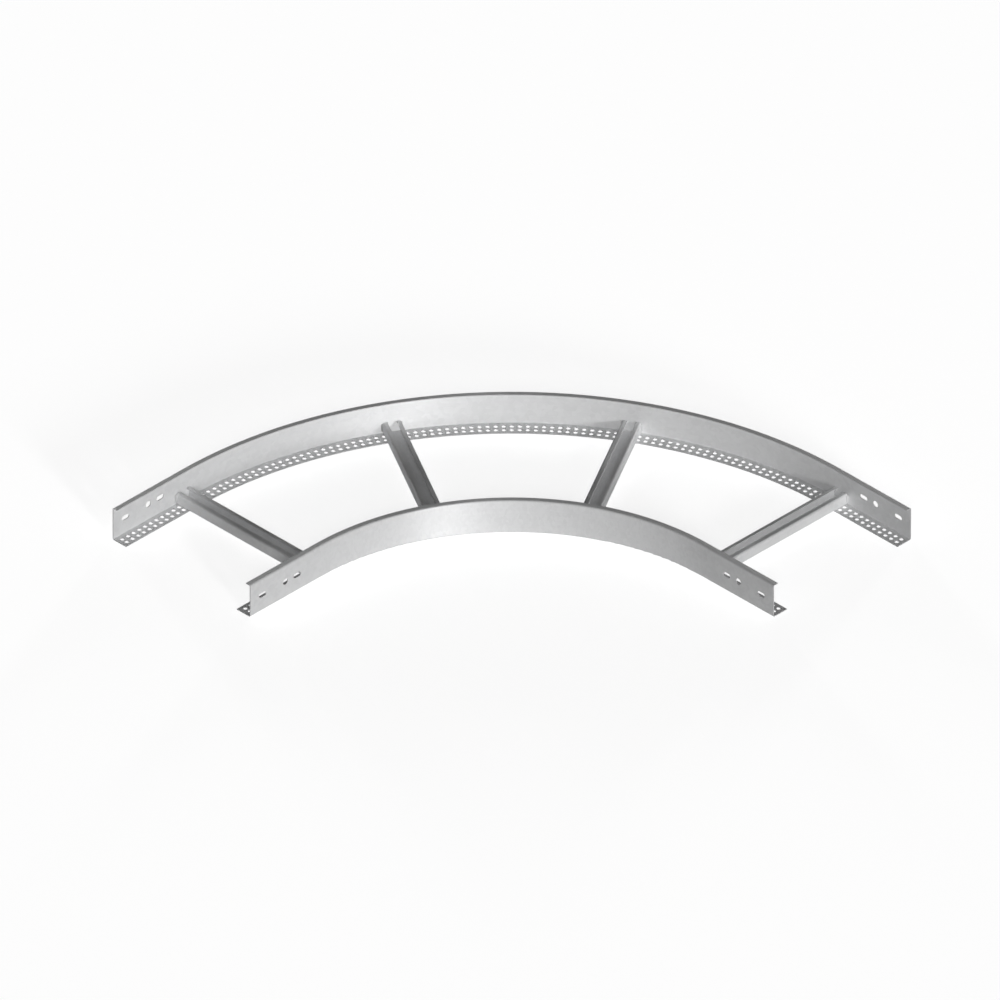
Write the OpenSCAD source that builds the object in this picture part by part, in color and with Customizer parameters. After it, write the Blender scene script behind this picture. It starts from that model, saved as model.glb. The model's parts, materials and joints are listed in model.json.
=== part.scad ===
// Flat quarter-turn bend of a cable ladder: two folded C-section side rails, bent to one centre,
// joined by slotted C-section rungs that lie on the rails' perforated bottom flanges.
// The underside is at z = 0 and the origin is below the middle of the bounding box.

/* [Ladder] */
// Clear width between the webs of the two side rails
clear_w = 300; // [200:10:600]
// Radius of the turn, on the visible face of the inner rail's web
bend_r = 420; // [300:5:700]
// Length of the straight stretch at each end of the turn
end_l = 155; // [140:5:300]

/* [Side rails] */
// Height of the side rails
rail_h = 60; // [50:1:110]
// Sheet thickness of the side rails
rail_t = 1.5; // [1:0.1:2.5]
// Width of the bottom flange, over the web
bottom_flange_w = 30; // [28:1:45]
// Width of the top flange, over the web
top_flange_w = 10; // [7:0.5:16]
// Inside radius of the rails' folds
rail_fold_r = 1.5; // [0.8:0.1:2.5]

/* [Flange perforation] */
// Diameter of the holes in the bottom flanges
perf_d = 7; // [5:0.5:8]
// Pitch of the holes along the rail
perf_pitch = 12.5; // [10:0.5:25]
// Distance of the first row of holes from the web's outer face
perf_row_1 = 11.5; // [9.5:0.5:13]
// Distance between the two rows of holes
perf_row_gap = 10; // [9:0.5:11]
// Least distance of a hole's centre from the end of the rail
perf_edge = 8; // [6:0.5:15]

/* [Joint holes] */
// Width of the two slots in the web at each rail end
joint_slot_w = 8; // [6:0.5:12]
// Length of those slots, end to end
joint_slot_l = 16; // [13:0.5:24]
// Diameter of the round hole between them
joint_hole_d = 11; // [6:0.5:13]
// Distance of the first slot from the end of the rail
joint_first = 27; // [15:1:30]
// Distance from the first slot to the round hole
joint_hole_step = 50; // [30:1:55]
// Distance from the round hole to the second slot
joint_slot_step = 26; // [20:1:30]

/* [Rungs] */
// Number of rungs, spread evenly over the angle of the turn
rung_count = 4; // [3:1:6]
// Distance of the first and the last rung past the ends of the turn
rung_past_turn = 3; // [0:0.5:10]
// Width of a rung
rung_w = 30; // [25:1:45]
// Height of a rung
rung_h = 20; // [12:1:30]
// Width of the lips on both sides of a rung's slot, over the wall
rung_lip_w = 7.5; // [5:0.5:9]
// Sheet thickness of a rung
rung_t = 1.5; // [1:0.1:2.5]
// Inside radius of a rung's folds
rung_fold_r = 1.5; // [0.8:0.1:2.5]
// Clearance between a rung's end and the fold of the rail
rung_end_gap = 0.3; // [0.2:0.1:2]

/* [Hidden] */

turn = 90;
// Overshoot of a cutting tool past the sheet that it cuts
cut = 1;
// Sides of the drawn circles: of the whole turn, of a drilled hole and of a fold
turn_fn = 240;
hole_fn = 32;
fold_fn = 32;

outer_r = bend_r + 2 * rail_t + clear_w;
rail_fold_out = rail_fold_r + rail_t;
rung_fold_out = rung_fold_r + rung_t;
// The turn's centre lies outside the ladder, as far from the origin in X as in Y
turn_centre = (end_l - outer_r) / 2;

// Each rail as [radius of the web's outer face, direction of its flanges along the radius]
OUTER = [outer_r, -1];
INNER = [bend_r, 1];

// A rung ends at the folds of both webs, and its corners at the outer one are nearest to the curve
rung_start_r = bend_r + rail_fold_out + rung_end_gap;
rung_corner_r = outer_r - rail_fold_out - rung_end_gap;
rung_end_r = sqrt(pow(rung_corner_r, 2) - pow(rung_w / 2, 2));

// Radius of the line midway between a rail's two rows of holes, which keeps the pitch of the perforation
function perf_mid_r(rail) = rail[0] + rail[1] * (perf_row_1 + perf_row_gap / 2);
function turn_l(r) = PI * r * turn / 180;
function rail_l(r) = 2 * end_l + turn_l(r);
function perf_columns(r) = floor((rail_l(r) - 2 * perf_edge) / perf_pitch) + 1;
function perf_first(r) = (rail_l(r) - (perf_columns(r) - 1) * perf_pitch) / 2;

// Places children at a distance along a line of radius r, measured from the first end:
// X is then the radius and Y runs along the rail
module at_distance(d, r) {
  past_first_end = d - end_l;
  past_turn = past_first_end - turn_l(r);
  angle = turn * max(0, min(1, past_first_end / turn_l(r)));
  along = past_first_end < 0 ? past_first_end : max(0, past_turn);
  rotate([0, 0, angle]) translate([0, along, 0]) children();
}

// Children at the first end, and mirrored at the second
module both_ends() {
  children();
  mirror([1, -1, 0]) children();
}

// Folded quarter of a sheet's section, from straight down to straight left of the fold's axis
module fold(inside_r, t) {
  difference() {
    intersection() {
      circle(r = inside_r + t, $fn = fold_fn);
      translate([-inside_r - t, -inside_r - t]) square(inside_r + t);
    }
    circle(r = inside_r, $fn = fold_fn);
  }
}

// Section of a rail with the web's outer face on the Y axis and the flanges along +X
module rail_section() {
  translate([0, rail_fold_out]) square([rail_t, rail_h - 2 * rail_fold_out]);
  translate([rail_fold_out, rail_fold_out]) fold(rail_fold_r, rail_t);
  translate([rail_fold_out, rail_h - rail_fold_out]) mirror([0, 1]) fold(rail_fold_r, rail_t);
  translate([rail_fold_out, 0]) square([bottom_flange_w - rail_fold_out, rail_t]);
  translate([rail_fold_out, rail_h - rail_t]) square([top_flange_w - rail_fold_out, rail_t]);
}

// The section at its radius, with the flanges turned the rail's way
module placed_rail_section(rail) {
  translate([rail[0], 0]) scale([rail[1], 1]) rail_section();
}

module bent_rail(rail) {
  rotate_extrude(angle = turn, $fn = turn_fn) placed_rail_section(rail);
  both_ends() rotate([90, 0, 0]) linear_extrude(end_l) placed_rail_section(rail);
}

// Two rows of holes through the bottom flange, from end to end
module perforation(rail) {
  r = perf_mid_r(rail);
  for (column = [0 : perf_columns(r) - 1])
    at_distance(perf_first(r) + column * perf_pitch, r)
      for (side = [-1, 1])
        translate([r + side * perf_row_gap / 2, 0, -cut])
          cylinder(d = perf_d, h = rail_t + 2 * cut, $fn = hole_fn);
}

// Slot along the Y axis, as a flat outline
module slot_outline() {
  straight = joint_slot_l - joint_slot_w;
  square([joint_slot_w, straight], center = true);
  for (side = [-1, 1])
    translate([0, side * straight / 2]) circle(d = joint_slot_w, $fn = hole_fn);
}

// Cutters for the joint plate's bolts, at mid height of the web
module joint_holes(rail) {
  hole_at = joint_first + joint_hole_step;
  slots_at = [joint_first, hole_at + joint_slot_step];
  web_middle = rail[0] + rail[1] * rail_t / 2;
  depth = rail_t + 2 * cut;
  translate([web_middle, 0, rail_h / 2]) {
    translate([0, hole_at - end_l, 0]) rotate([0, 90, 0])
      cylinder(d = joint_hole_d, h = depth, center = true, $fn = hole_fn);
    for (d = slots_at)
      translate([0, d - end_l, 0]) rotate([0, 90, 0])
        linear_extrude(depth, center = true) slot_outline();
  }
}

module side_rail(rail) {
  translate([turn_centre, turn_centre, 0]) difference() {
    bent_rail(rail);
    perforation(rail);
    both_ends() joint_holes(rail);
  }
}

// Channel with its floor on the X axis and a lip along each wall's top, on both sides of the slot
module rung_section() {
  for (side = [-1, 1]) scale([side, 1]) translate([-rung_w / 2, 0]) {
    translate([0, rung_fold_out]) square([rung_t, rung_h - 2 * rung_fold_out]);
    translate([rung_fold_out, rung_fold_out]) fold(rung_fold_r, rung_t);
    translate([rung_fold_out, rung_h - rung_fold_out]) mirror([0, 1]) fold(rung_fold_r, rung_t);
    translate([rung_fold_out, rung_h - rung_t]) square([rung_lip_w - rung_fold_out, rung_t]);
  }
  translate([rung_fold_out - rung_w / 2, 0]) square([rung_w - 2 * rung_fold_out, rung_t]);
}

module outer_side_rail() { color("gainsboro") side_rail(OUTER); }

module inner_side_rail() { color("gainsboro") side_rail(INNER); }

module rung(i) {
  angle = turn * (i - 1) / (rung_count - 1);
  past_turn = i == 1 ? -rung_past_turn : i == rung_count ? rung_past_turn : 0;
  color("silver") translate([turn_centre, turn_centre, rail_t]) rotate([0, 0, angle])
    translate([rung_start_r, past_turn, 0]) rotate([90, 0, 90])
      linear_extrude(rung_end_r - rung_start_r) rung_section();
}

outer_side_rail();
inner_side_rail();
for (i = [1:rung_count])
  rung(i);
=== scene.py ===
"""Looks of a flat quarter-turn cable ladder bend: galvanised side rails and rungs on a pale studio floor."""
import json
import math

import bmesh
import bpy
from mathutils import Matrix, Vector


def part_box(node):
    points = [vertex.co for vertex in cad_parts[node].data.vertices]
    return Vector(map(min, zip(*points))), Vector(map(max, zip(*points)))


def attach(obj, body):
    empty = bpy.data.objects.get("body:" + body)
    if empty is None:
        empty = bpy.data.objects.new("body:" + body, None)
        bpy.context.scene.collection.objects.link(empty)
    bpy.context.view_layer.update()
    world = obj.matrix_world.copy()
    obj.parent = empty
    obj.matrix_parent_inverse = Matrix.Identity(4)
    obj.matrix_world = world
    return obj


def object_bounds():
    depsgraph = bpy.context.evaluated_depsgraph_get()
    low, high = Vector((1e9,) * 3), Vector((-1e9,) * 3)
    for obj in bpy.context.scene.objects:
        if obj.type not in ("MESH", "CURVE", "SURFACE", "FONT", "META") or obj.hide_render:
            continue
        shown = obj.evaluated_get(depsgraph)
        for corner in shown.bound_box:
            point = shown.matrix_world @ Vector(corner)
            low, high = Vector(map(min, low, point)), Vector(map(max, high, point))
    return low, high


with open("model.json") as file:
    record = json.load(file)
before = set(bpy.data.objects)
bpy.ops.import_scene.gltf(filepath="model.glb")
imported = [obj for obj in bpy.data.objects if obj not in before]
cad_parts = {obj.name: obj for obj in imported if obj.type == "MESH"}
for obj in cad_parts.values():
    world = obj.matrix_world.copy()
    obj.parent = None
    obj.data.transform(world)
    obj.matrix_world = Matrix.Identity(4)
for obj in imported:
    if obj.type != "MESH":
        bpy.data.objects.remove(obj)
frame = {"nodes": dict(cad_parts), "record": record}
CAD_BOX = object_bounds()

bl_info = {
    "name": "Cable Ladder Bend",
    "version": (1, 0, 0),
    "blender": (4, 5, 0),
    "location": "View3D > Sidebar > Cable Ladder",
    "description": "Finishes a galvanised cable ladder bend and sets it on a studio floor",
    "category": "Object",
}

BODY = "root"
RAILS = ("outer_side_rail", "inner_side_rail")
RUNGS = ("rung_1", "rung_2", "rung_3", "rung_4")
MM = 0.001
WHITE = (1.0, 1.0, 1.0)

# Scales of the zinc's patterns, against the size of one crystal
CRYSTAL_WARP_SCALE = 0.35
FEATHER_SCALE = 4
# Finer layers of noise in the feathers and the haze, and in the streaks
PATCH_DETAIL = 3.0
STREAK_DETAIL = 2.0
NOISE_MIDDLE = 0.5
# The darkest and the lightest zinc, as shares of its colour
DARKEST_ZINC = 0.8
LIGHTEST_ZINC = 1.2
# How far crystals, haze and bare steel change the roughness
CRYSTAL_GLOSS = 0.12
HAZE_GLOSS = 0.1
BARE_GLOSS = 0.08
# Shares of streaks and feathers in the zinc's fine relief, and the relief's strength and depth
STREAK_RELIEF = 0.6
FEATHER_RELIEF = 0.4
RELIEF_STRENGTH = 0.12
RELIEF_DEPTH = 0.15 * MM
# Turn of the rolled gloss on the sheet, as a share of a full one
ROLLED_GLOSS_TURN = 0.25

# How squarely a face looks up, along the rail or out of the turn, to count as a rim or an end
LEVEL_FACING = 0.5
RAIL_END_FACING = 0.6
RUNG_END_FACING = 0.7
SLOT_RIM_FACING = 0.97
RIM_MARGIN = 0.5 * MM

BEAD_ARC_STEPS = 6
BEAD_RINGS_PER_RIPPLE = 4
# Shares of a bead's size by which its ripples and its slow waver change it
BEAD_RIPPLE = 0.05
BEAD_WAVER = 0.07
# Share of its size that a bead has at both ends, and how many sizes it would gain over its whole length
BEAD_START = 0.45
BEAD_GROWTH = 6

# Sides of the floor block and distances of the camera and the lamps, in metres
FLOOR_WIDTH = 30.0
FLOOR_DEPTH = 4.0
CAMERA_DISTANCE = 4.0
LAMP_DISTANCE = 3.0
# White of the floor block's inside, as bright as its lit top
FLOOR_INSIDE_WHITE = 0.981
# Each lamp's azimuth, elevation and spread, in degrees
KEY_LAMP = (-19, 10.5, 8)
FRONT_LAMP = (-45, 30, 14)
LEFT_BACK_LAMP = (160, 4, 8)
RIGHT_BACK_LAMP = (110, 4, 8)


def middle(node):
    """Middle of a node's box."""
    low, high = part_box(node)
    return (low + high) / 2


# The rungs are spread over a quarter turn, and the second one lies on a ray from the turn's centre
RUNG_STEP = math.radians(90) / (len(RUNGS) - 1)
SECOND_RUNG = middle("rung_2")
SECOND_RUNG_R = (SECOND_RUNG.x - SECOND_RUNG.y) / (math.cos(RUNG_STEP) - math.sin(RUNG_STEP))
# The turn's centre is as far from the origin in X as in Y
TURN_CENTRE = SECOND_RUNG.x - SECOND_RUNG_R * math.cos(RUNG_STEP)

# The first rung lies along X, a little past the end of the turn
RUNG_LOW, RUNG_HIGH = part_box("rung_1")
RUNG_PAST_TURN = TURN_CENTRE - middle("rung_1").y
RUNG_HALF_W = (RUNG_HIGH.y - RUNG_LOW.y) / 2
# The rails' sheet is as thick as the rungs lie high, and so is the inside radius of its folds
SHEET_T = RUNG_LOW.z
FOLD_OUT = 2 * SHEET_T
# Distance from a fold's axis that lies between the inside and the outside of the sheet
FOLD_MIDDLE = 0.6 * FOLD_OUT

RAIL_TOP = CAD_BOX[1].z
OUTER_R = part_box("outer_side_rail")[1].x - TURN_CENTRE
# The inner rail's joint hole lies in the middle of its web
INNER_HOLE = next(m for m in frame["record"]["mounts"] if m["name"] == "inner_end_1_joint_hole")
INNER_R = INNER_HOLE["pos_m"][0] - TURN_CENTRE - SHEET_T / 2


class Wire:
    """A shader socket that takes part in sums: each operator adds a Math node."""

    def __init__(self, shading, socket):
        self.shading = shading
        self.socket = socket

    def __add__(self, other):
        return self.shading.math("ADD", self, other)

    __radd__ = __add__

    def __sub__(self, other):
        return self.shading.math("SUBTRACT", self, other)

    def __rsub__(self, other):
        return self.shading.math("SUBTRACT", other, self)

    def __mul__(self, other):
        return self.shading.math("MULTIPLY", self, other)

    __rmul__ = __mul__

    def __truediv__(self, other):
        return self.shading.math("DIVIDE", self, other)

    def __rtruediv__(self, other):
        return self.shading.math("DIVIDE", other, self)

    def __gt__(self, other):
        return self.shading.math("GREATER_THAN", self, other)

    def __lt__(self, other):
        return self.shading.math("LESS_THAN", self, other)

    def __abs__(self):
        return self.shading.math("ABSOLUTE", self)


class Shading:
    """The node tree of one material or of the world."""

    def __init__(self, owner):
        owner.use_nodes = True
        self.tree = owner.node_tree
        self.tree.nodes.clear()

    def node(self, kind, settings=None, inputs=None, output=0):
        """Adds a node, sets it up, feeds its sockets by name or place, and gives one of its outputs."""
        made = self.tree.nodes.new(kind)
        for name, value in (settings or {}).items():
            setattr(made, name, value)
        for key, value in (inputs or {}).items():
            socket = self.find(made.inputs, key)
            if isinstance(value, Wire):
                self.tree.links.new(value.socket, socket)
            else:
                socket.default_value = value
        if not made.outputs:
            return None
        return Wire(self, self.find(made.outputs, output))

    def find(self, sockets, key):
        """A socket by its place, or by its name among those in use."""
        if isinstance(key, int):
            return sockets[key]
        for socket in sockets:
            if socket.name == key and socket.enabled:
                return socket
        raise KeyError(key)

    def math(self, operation, *values):
        return self.node("ShaderNodeMath", {"operation": operation}, dict(enumerate(values)))

    def least(self, first, second):
        return self.math("MINIMUM", first, second)

    def most(self, first, second):
        return self.math("MAXIMUM", first, second)

    def point(self, x, y, z):
        return self.node("ShaderNodeCombineXYZ", inputs={"X": x, "Y": y, "Z": z})

    def parts(self, vector):
        """The three numbers of a vector or a colour."""
        split = self.node("ShaderNodeSeparateXYZ", inputs={"Vector": vector})
        return tuple(Wire(self, socket) for socket in split.socket.node.outputs)

    def vector_math(self, operation, *values):
        return self.node("ShaderNodeVectorMath", {"operation": operation}, dict(enumerate(values)))

    def mix(self, data_type, factor, first, second):
        """A mix of two colours or of two vectors."""
        inputs = {"Factor": factor, "A": first, "B": second}
        return self.node("ShaderNodeMix", {"data_type": data_type}, inputs, "Result")

    def noise(self, vector, scale, detail):
        inputs = {"Vector": vector, "Scale": scale, "Detail": detail}
        return self.node("ShaderNodeTexNoise", inputs=inputs, output="Fac")


def opaque(colour, tone=1.0):
    """A colour made lighter or darker, with full alpha."""
    return (colour[0] * tone, colour[1] * tone, colour[2] * tone, 1.0)


class BendPlace:
    """Place and face direction on the bend, for a material: along the rails, across them, and up."""

    def __init__(self, shading):
        x, y, z = shading.parts(shading.node("ShaderNodeTexCoord", output="Object"))
        x = x - TURN_CENTRE
        y = y - TURN_CENTRE
        self.turn_x = shading.most(x, 0.0)
        self.turn_y = shading.most(y, 0.0)
        self.height = z
        self.radius = shading.math("SQRT", self.turn_x * self.turn_x + self.turn_y * self.turn_y)
        self.angle = shading.math("ARCTAN2", self.turn_y, self.turn_x)
        self.past_turn = shading.least(y, 0.0) - shading.least(x, 0.0)
        self.along = self.angle * OUTER_R + self.past_turn
        normal = shading.parts(shading.node("ShaderNodeNewGeometry", output="True Normal"))
        self.faces_out = abs(normal[0] * self.turn_x + normal[1] * self.turn_y) / self.radius
        self.faces_along = abs(normal[1] * self.turn_x - normal[0] * self.turn_y) / self.radius
        self.faces_up = abs(normal[2])


def zinc_coat(shading, zinc, colour, strip, facing, bare=None):
    """Zinc on steel: crystals, rolling streaks and dull patches, with bare steel where a mask says so.

    strip is the place on the unrolled sheet, with X along the rolling direction, and facing is the direction
    that the sheet faces."""
    warp_inputs = {"Vector": strip, "Scale": CRYSTAL_WARP_SCALE / zinc.spangle_size}
    warp = shading.node("ShaderNodeTexNoise", inputs=warp_inputs, output="Color")
    warp = shading.vector_math("SUBTRACT", warp, (NOISE_MIDDLE,) * 3)
    warp = shading.vector_math("MULTIPLY", warp, (zinc.spangle_size,) * 3)
    crystal_inputs = {"Vector": shading.vector_math("ADD", strip, warp), "Scale": 1 / zinc.spangle_size}
    crystals = shading.node("ShaderNodeTexVoronoi", {"feature": "F1"}, crystal_inputs, "Color")
    crystal_tone, crystal_gloss = shading.parts(crystals)[:2]
    feathers = shading.noise(strip, FEATHER_SCALE / zinc.spangle_size, PATCH_DETAIL)
    haze = shading.noise(strip, 1 / zinc.haze_size, PATCH_DETAIL)
    stretch = (1 / zinc.streak_length, 1 / zinc.streak_width, 1 / zinc.streak_width)
    streaks = shading.noise(shading.vector_math("MULTIPLY", strip, stretch), 1.0, STREAK_DETAIL)

    tone = (
        NOISE_MIDDLE
        + zinc.spangle_contrast * (crystal_tone - NOISE_MIDDLE)
        + zinc.streak_contrast * (streaks - NOISE_MIDDLE)
        + zinc.haze_contrast * (haze - NOISE_MIDDLE))
    sheet_colour = shading.mix("RGBA", tone, opaque(colour, DARKEST_ZINC), opaque(colour, LIGHTEST_ZINC))
    roughness = (
        zinc.roughness
        + CRYSTAL_GLOSS * (crystal_gloss - NOISE_MIDDLE)
        + HAZE_GLOSS * (haze - NOISE_MIDDLE))
    if bare is not None:
        sheet_colour = shading.mix("RGBA", bare, sheet_colour, opaque(zinc.cut_colour))
        roughness = roughness - BARE_GLOSS * bare
    relief = STREAK_RELIEF * streaks + FEATHER_RELIEF * feathers
    normal = shading.node("ShaderNodeBump", inputs={
        "Strength": RELIEF_STRENGTH, "Distance": RELIEF_DEPTH, "Height": relief, "Normal": facing})
    surface = shading.node("ShaderNodeBsdfPrincipled", inputs={
        "Base Color": sheet_colour, "Metallic": zinc.metallic, "Roughness": roughness, "Normal": normal,
        "Anisotropic": zinc.rolled_gloss, "Anisotropic Rotation": ROLLED_GLOSS_TURN,
        "Specular IOR Level": 0.0})
    shading.node("ShaderNodeOutputMaterial", inputs={"Surface": surface})


def mesh_facing(shading):
    """The direction that the mesh itself faces."""
    return shading.node("ShaderNodeNewGeometry", output="Normal")


def fold_facing(shading, place, from_web):
    """The direction that a rail faces: on its folds it comes from the place, so that they shade evenly."""
    from_axis = from_web - FOLD_OUT
    off_middle = place.height - RAIL_TOP / 2
    past_axis = abs(off_middle) - (RAIL_TOP / 2 - FOLD_OUT)
    in_fold = (from_axis < 0.0) * (past_axis > 0.0) * (place.faces_along < RAIL_END_FACING)
    # The inside of the sheet faces the fold's axis, and the outside faces away from it
    depth = shading.math("SQRT", from_axis * from_axis + past_axis * past_axis)
    side = shading.math("SIGN", depth - FOLD_MIDDLE)
    towards_ladder = shading.math("SIGN", (OUTER_R + INNER_R) / 2 - place.radius)
    outward = side * from_axis * towards_ladder / place.radius
    upward = side * past_axis * shading.math("SIGN", off_middle)
    bent = shading.point(outward * place.turn_x, outward * place.turn_y, upward)
    return shading.mix("VECTOR", in_fold, mesh_facing(shading), shading.vector_math("NORMALIZE", bent))


def rail_zinc(zinc):
    """Zinc of the side rails, with bare steel on the rims of the flanges, the ends and the joint holes."""
    material = bpy.data.materials.new("galvanised rail sheet")
    shading = Shading(material)
    place = BendPlace(shading)
    from_web = shading.least(OUTER_R - place.radius, place.radius - INNER_R)
    flange_rim = (from_web > FOLD_OUT + RIM_MARGIN) * (place.faces_up < LEVEL_FACING)
    end_rim = place.faces_along > RAIL_END_FACING
    off_folds = (place.height > 2 * FOLD_OUT) * (place.height < RAIL_TOP - 2 * FOLD_OUT)
    hole_rim = off_folds * (place.faces_up > LEVEL_FACING)
    bare = shading.most(shading.most(flange_rim, end_rim), hole_rim)
    strip = shading.point(place.along, place.radius, place.height)
    zinc_coat(shading, zinc, zinc.rail_colour, strip, fold_facing(shading, place, from_web), bare)
    return material


def rung_zinc(zinc):
    """Zinc of the rungs, with bare steel on their ends and on the rims of their slots."""
    material = bpy.data.materials.new("galvanised rung sheet")
    shading = Shading(material)
    place = BendPlace(shading)
    # Angle from the ray of the nearest rung
    off_ray = shading.math("WRAP", place.angle, RUNG_STEP / 2, -RUNG_STEP / 2)
    sideways = off_ray * place.radius + place.past_turn
    end_rim = place.faces_out > RUNG_END_FACING
    slot_rim = (place.height > RUNG_HIGH.z - SHEET_T) * (place.faces_along > SLOT_RIM_FACING)
    strip = shading.point(place.radius, sideways + place.angle, place.height)
    bare = shading.most(end_rim, slot_rim)
    zinc_coat(shading, zinc, zinc.rung_colour, strip, mesh_facing(shading), bare)
    return material


def weld_zinc(zinc):
    """Zinc over the weld beads: a little darker than the rungs, without bare steel."""
    material = bpy.data.materials.new("galvanised weld bead")
    shading = Shading(material)
    strip = shading.node("ShaderNodeTexCoord", output="Object")
    zinc_coat(shading, zinc, zinc.weld_colour, strip, mesh_facing(shading))
    return material


class LADDER_PG_zinc(bpy.types.PropertyGroup):
    """Finish of the galvanised sheet."""

    rail_colour: bpy.props.FloatVectorProperty(
        name="Rail Zinc", description="Colour of the zinc on the side rails",
        subtype="COLOR", min=0, max=1, default=(0.78, 0.783, 0.787))
    rung_colour: bpy.props.FloatVectorProperty(
        name="Rung Zinc", description="Colour of the zinc on the rungs",
        subtype="COLOR", min=0, max=1, default=(0.77, 0.773, 0.777))
    cut_colour: bpy.props.FloatVectorProperty(
        name="Cut Edges", description="Colour of the bare steel on cut edges",
        subtype="COLOR", min=0, max=1, default=(0.6, 0.6, 0.605))
    weld_colour: bpy.props.FloatVectorProperty(
        name="Weld Zinc", description="Colour of the zinc on the weld beads",
        subtype="COLOR", min=0, max=1, default=(0.6, 0.603, 0.607))
    roughness: bpy.props.FloatProperty(
        name="Roughness", description="Roughness of the zinc", subtype="FACTOR", min=0, max=1, default=0.55)
    metallic: bpy.props.FloatProperty(
        name="Metal", description="Share of bright metal in the zinc's shine",
        subtype="FACTOR", min=0, max=1, default=0.25)
    rolled_gloss: bpy.props.FloatProperty(
        name="Rolled Gloss", description="How far rolling draws the shine out across the sheet",
        subtype="FACTOR", min=0, max=1, default=0.8)
    spangle_size: bpy.props.FloatProperty(
        name="Spangle Size", description="Size of the zinc crystals",
        unit="LENGTH", min=0.001, max=0.05, default=0.007)
    spangle_contrast: bpy.props.FloatProperty(
        name="Spangle Contrast", description="Difference in tone between crystals",
        subtype="FACTOR", min=0, max=1, default=0.14)
    streak_width: bpy.props.FloatProperty(
        name="Streak Width", description="Width of the rolling streaks",
        unit="LENGTH", min=0.0002, max=0.02, default=0.0016)
    streak_length: bpy.props.FloatProperty(
        name="Streak Length", description="Length of the rolling streaks",
        unit="LENGTH", min=0.01, max=1, default=0.16)
    streak_contrast: bpy.props.FloatProperty(
        name="Streak Contrast", description="Difference in tone between streaks",
        subtype="FACTOR", min=0, max=1, default=0.1)
    haze_size: bpy.props.FloatProperty(
        name="Haze Size", description="Size of the dull patches",
        unit="LENGTH", min=0.01, max=1, default=0.09)
    haze_contrast: bpy.props.FloatProperty(
        name="Haze Contrast", description="Difference in tone between dull and clear patches",
        subtype="FACTOR", min=0, max=1, default=0.06)


class LADDER_PG_weld(bpy.types.PropertyGroup):
    """Beads that join the rungs to the side rails."""

    leg: bpy.props.FloatProperty(
        name="Leg", description="Reach of a bead along the web",
        unit="LENGTH", min=0, default=2.6 * MM)
    reach: bpy.props.FloatProperty(
        name="Reach", description="Reach of a bead along the rung's wall",
        unit="LENGTH", min=0, default=4.6 * MM)
    root: bpy.props.FloatProperty(
        name="Root", description="Depth of a bead in the corner",
        unit="LENGTH", min=0, default=0.4 * MM)
    foot: bpy.props.FloatProperty(
        name="Foot", description="Distance of a bead from the rung's bottom and top",
        unit="LENGTH", min=0, default=2.5 * MM)
    ripple: bpy.props.FloatProperty(
        name="Ripple", description="Distance between a bead's ripples",
        unit="LENGTH", min=0.0005, default=1.5 * MM)


class LADDER_PG_stage(bpy.types.PropertyGroup):
    """Camera, lamps and floor."""

    azimuth: bpy.props.FloatProperty(
        name="Azimuth", description="Direction of the camera round the bend",
        subtype="ANGLE", default=math.radians(-45))
    elevation: bpy.props.FloatProperty(
        name="Elevation", description="Height of the camera above the horizon",
        subtype="ANGLE", default=math.radians(34.385))
    frame_width: bpy.props.FloatProperty(
        name="Frame Width", description="Width that the camera takes in",
        unit="LENGTH", min=0.1, default=1.555)
    aim: bpy.props.FloatVectorProperty(
        name="Aim", description="Point that the camera looks at",
        subtype="TRANSLATION", unit="LENGTH", default=(0.0639, 0.09, 0.0))
    floor_colour: bpy.props.FloatVectorProperty(
        name="Floor", description="Colour of the floor",
        subtype="COLOR", min=0, max=1, default=(0.4, 0.4, 0.4))
    floor_white: bpy.props.FloatProperty(
        name="Floor White", description="How far the floor is seen as white, without lighting the ladder",
        subtype="FACTOR", min=0, max=1, default=0.7825)
    shadow_depth: bpy.props.FloatProperty(
        name="Shadow Depth", description="How strongly the ladder's shadow shows on the floor",
        min=0, max=2.5, default=2.0)
    key_strength: bpy.props.FloatProperty(
        name="Key Lamp", description="Strength of the low main lamp", min=0, default=1.05)
    fill_strength: bpy.props.FloatProperty(
        name="Fill Lamp", description="Strength of the lamp beside the main one that casts no shadow",
        min=0, default=1.05)
    front_strength: bpy.props.FloatProperty(
        name="Front Lamp", description="Strength of the lamp near the camera", min=0, default=0.45)
    back_strength: bpy.props.FloatProperty(
        name="Back Lamps", description="Strength of each lamp behind the ladder", min=0, default=1.0)
    room_light: bpy.props.FloatProperty(
        name="Room Light", description="Brightness of the light from all round",
        subtype="FACTOR", min=0, max=1, default=0.012)


def dress(node, material):
    """Gives a node's object one material."""
    slots = frame["nodes"][node].data.materials
    slots.clear()
    slots.append(material)


class LADDER_OT_finish_side_rails(bpy.types.Operator):
    """Galvanise the two bent side rails"""

    bl_idname = "ladder.finish_side_rails"
    bl_label = "Finish Side Rails"

    def execute(self, context):
        material = rail_zinc(context.scene.ladder_zinc)
        for node in RAILS:
            dress(node, material)
        return {"FINISHED"}


class LADDER_OT_finish_rungs(bpy.types.Operator):
    """Galvanise the four slotted rungs"""

    bl_idname = "ladder.finish_rungs"
    bl_label = "Finish Rungs"

    def execute(self, context):
        material = rung_zinc(context.scene.ladder_zinc)
        for node in RUNGS:
            dress(node, material)
        return {"FINISHED"}


def bead_outline(weld, swell):
    """Outline of a bead in the corner of a web and a rung's wall: X from the web, Y out from the wall."""
    root = weld.root
    arc = [math.radians(90) * step / BEAD_ARC_STEPS for step in range(BEAD_ARC_STEPS + 1)]
    crown = [(weld.reach * swell * math.sin(a) - root, weld.leg * swell * math.cos(a) - root) for a in arc]
    return crown + [(-root, -root)]


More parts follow.
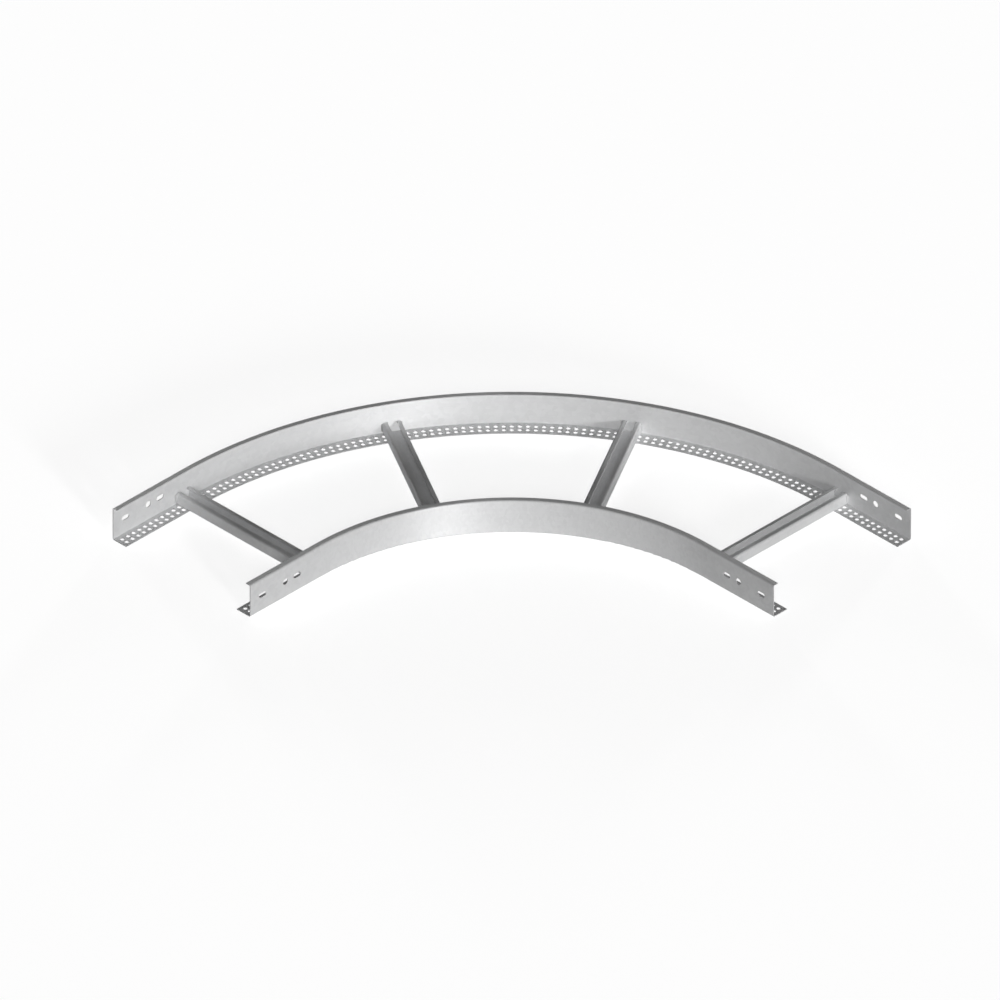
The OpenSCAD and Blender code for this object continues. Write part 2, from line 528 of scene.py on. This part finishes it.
def add_bead(mesh, weld, to_world, waver_start):
    """Adds one upright weld bead to a mesh, with a ripple for each drop and a waver of its own."""
    low = RUNG_LOW.z + weld.foot
    high = RUNG_HIGH.z - weld.foot
    rings = []
    count = round((high - low) / weld.ripple) * BEAD_RINGS_PER_RIPPLE
    for step in range(count + 1):
        share = step / count
        height = low + share * (high - low)
        ripple = BEAD_RIPPLE * math.cos(2 * math.pi * step / BEAD_RINGS_PER_RIPPLE)
        waver = BEAD_WAVER * math.sin(waver_start + 2 * math.pi * share)
        taper = min(1.0, BEAD_START + BEAD_GROWTH * min(share, 1 - share))
        outline = bead_outline(weld, (1 + ripple + waver) * taper)
        rings.append([mesh.verts.new(to_world @ Vector((x, y, height))) for x, y in outline])
    for lower, upper in zip(rings, rings[1:]):
        for k in range(len(lower)):
            j = (k + 1) % len(lower)
            mesh.faces.new((lower[k], lower[j], upper[j], upper[k])).smooth = True
    mesh.faces.new(rings[0])
    mesh.faces.new(rings[-1])


def rung_frame(index):
    """Place of a rung: X along it from the turn's centre, Y across it."""
    past_turn = {0: -RUNG_PAST_TURN, len(RUNGS) - 1: RUNG_PAST_TURN}.get(index, 0.0)
    centre = Matrix.Translation((TURN_CENTRE, TURN_CENTRE, 0))
    return centre @ Matrix.Rotation(index * RUNG_STEP, 4, "Z") @ Matrix.Translation((0, past_turn, 0))


class LADDER_OT_weld_rungs(bpy.types.Operator):
    """Weld the walls of every rung to the webs of both side rails"""

    bl_idname = "ladder.weld_rungs"
    bl_label = "Weld Rungs"

    def execute(self, context):
        weld = context.scene.ladder_weld
        material = weld_zinc(context.scene.ladder_zinc)
        for index, rung in enumerate(RUNGS):
            beads = bmesh.new()
            for web_r, inward in ((OUTER_R - SHEET_T, -1), (INNER_R + SHEET_T, 1)):
                for side in (-1, 1):
                    corner = Matrix.Translation((web_r, side * RUNG_HALF_W, 0))
                    turned = Matrix.Diagonal((inward, side, 1, 1))
                    waver_start = index + inward + 2 * side
                    add_bead(beads, weld, rung_frame(index) @ corner @ turned, waver_start)
            bmesh.ops.recalc_face_normals(beads, faces=beads.faces)
            mesh = bpy.data.meshes.new(rung + "_welds")
            beads.to_mesh(mesh)
            beads.free()
            mesh.materials.append(material)
            piece = bpy.data.objects.new(rung + "_welds", mesh)
            context.scene.collection.objects.link(piece)
            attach(piece, BODY)
        return {"FINISHED"}


def direction(azimuth, elevation):
    """Unit vector from the bend towards a lamp or the camera."""
    level = math.cos(elevation)
    return Vector((math.sin(azimuth) * level, -math.cos(azimuth) * level, math.sin(elevation)))


def place_towards(item, azimuth, elevation, distance, aim):
    """Puts an object that looks along its own -Z at a distance, looking at the aim."""
    back = direction(azimuth, elevation)
    item.rotation_mode = "QUATERNION"
    item.rotation_quaternion = (-back).to_track_quat("-Z", "Y")
    item.location = aim + back * distance
    bpy.context.scene.collection.objects.link(item)


def soft_lamp(name, place, strength, shadow=True):
    """Adds a wide distant lamp at one of the places above."""
    azimuth, elevation, spread = [math.radians(angle) for angle in place]
    lamp = bpy.data.lights.new(name, "SUN")
    lamp.energy = strength
    lamp.angle = spread
    lamp.use_shadow = shadow
    place_towards(bpy.data.objects.new(name, lamp), azimuth, elevation, LAMP_DISTANCE, Vector())


def pale_floor(stage):
    """A floor block: white where it is seen, and plain diffuse for the light that it throws back."""
    material = bpy.data.materials.new("pale floor")
    shading = Shading(material)
    rays = shading.node("ShaderNodeLightPath").socket.node.outputs
    seen = shading.most(Wire(shading, rays["Is Camera Ray"]), Wire(shading, rays["Is Glossy Ray"]))
    seen = shading.most(seen, Wire(shading, rays["Is Transmission Ray"]))
    matt = shading.node("ShaderNodeBsdfDiffuse", inputs={"Color": opaque(stage.floor_colour)})
    shaded_colour = opaque(stage.floor_colour, stage.shadow_depth)
    shaded = shading.node("ShaderNodeBsdfDiffuse", inputs={"Color": shaded_colour})
    glow = shading.node("ShaderNodeEmission", inputs={"Strength": stage.floor_white})
    pale = shading.node("ShaderNodeAddShader", inputs={0: shaded, 1: glow})
    top = shading.node("ShaderNodeMixShader", inputs={0: seen, 1: matt, 2: pale})
    # A camera below the horizon looks at the inside of the block, which is plain white
    inside = shading.node("ShaderNodeNewGeometry", output="Backfacing")
    white = shading.node("ShaderNodeEmission", inputs={"Strength": FLOOR_INSIDE_WHITE})
    surface = shading.node("ShaderNodeMixShader", inputs={0: inside * seen, 1: top, 2: white})
    shading.node("ShaderNodeOutputMaterial", inputs={"Surface": surface})

    mesh = bpy.data.meshes.new("floor")
    block = bmesh.new()
    bmesh.ops.create_cube(block, size=1.0)
    bmesh.ops.scale(block, vec=(FLOOR_WIDTH, FLOOR_WIDTH, FLOOR_DEPTH), verts=block.verts)
    bmesh.ops.translate(block, vec=(0, 0, -FLOOR_DEPTH / 2), verts=block.verts)
    block.to_mesh(mesh)
    block.free()
    mesh.materials.append(material)
    floor = bpy.data.objects.new("floor", mesh)
    bpy.context.scene.collection.objects.link(floor)


def room_world(stage):
    """A world that lights the ladder a little from all round."""
    world = bpy.data.worlds.new("room")
    shading = Shading(world)
    inputs = {"Color": opaque(WHITE), "Strength": stage.room_light}
    light = shading.node("ShaderNodeBackground", inputs=inputs)
    shading.node("ShaderNodeOutputWorld", inputs={"Surface": light})
    return world


class LADDER_OT_set_stage(bpy.types.Operator):
    """Set up the floor, the lamps and the camera"""

    bl_idname = "ladder.set_stage"
    bl_label = "Set Stage"

    def execute(self, context):
        scene = context.scene
        stage = scene.ladder_stage
        pale_floor(stage)
        soft_lamp("key lamp", KEY_LAMP, stage.key_strength)
        # The fill reaches into the rungs' slots, where the key lamp is too low to shine
        soft_lamp("fill lamp", KEY_LAMP, stage.fill_strength, shadow=False)
        soft_lamp("front lamp", FRONT_LAMP, stage.front_strength)
        soft_lamp("left back lamp", LEFT_BACK_LAMP, stage.back_strength)
        soft_lamp("right back lamp", RIGHT_BACK_LAMP, stage.back_strength)
        scene.world = room_world(stage)

        camera = bpy.data.cameras.new("camera")
        camera.type = "ORTHO"
        camera.ortho_scale = stage.frame_width
        holder = bpy.data.objects.new("camera", camera)
        place_towards(holder, stage.azimuth, stage.elevation, CAMERA_DISTANCE, Vector(stage.aim))
        scene.camera = holder
        scene.view_settings.view_transform = "Standard"
        return {"FINISHED"}


OPERATORS = (LADDER_OT_finish_side_rails, LADDER_OT_finish_rungs, LADDER_OT_weld_rungs, LADDER_OT_set_stage)


class LADDER_PT_bend(bpy.types.Panel):
    """Steps and settings of the cable ladder bend"""

    bl_idname = "LADDER_PT_bend"
    bl_label = "Cable Ladder Bend"
    bl_space_type = "VIEW_3D"
    bl_region_type = "UI"
    bl_category = "Cable Ladder"

    def draw(self, context):
        for operator in OPERATORS:
            self.layout.operator(operator.bl_idname)
        scene = context.scene
        for settings in (scene.ladder_zinc, scene.ladder_weld, scene.ladder_stage):
            box = self.layout.box()
            for name in settings.__annotations__:
                box.prop(settings, name)


CLASSES = (LADDER_PG_zinc, LADDER_PG_weld, LADDER_PG_stage, *OPERATORS, LADDER_PT_bend)


def register():
    for item in CLASSES:
        bpy.utils.register_class(item)
    bpy.types.Scene.ladder_zinc = bpy.props.PointerProperty(type=LADDER_PG_zinc)
    bpy.types.Scene.ladder_weld = bpy.props.PointerProperty(type=LADDER_PG_weld)
    bpy.types.Scene.ladder_stage = bpy.props.PointerProperty(type=LADDER_PG_stage)


def unregister():
    del bpy.types.Scene.ladder_stage
    del bpy.types.Scene.ladder_weld
    del bpy.types.Scene.ladder_zinc
    for item in reversed(CLASSES):
        bpy.utils.unregister_class(item)


def main():
    register()
    bpy.ops.ladder.finish_side_rails()
    bpy.ops.ladder.finish_rungs()
    bpy.ops.ladder.weld_rungs()
    bpy.ops.ladder.set_stage()


if __name__ == "__main__":
    main()
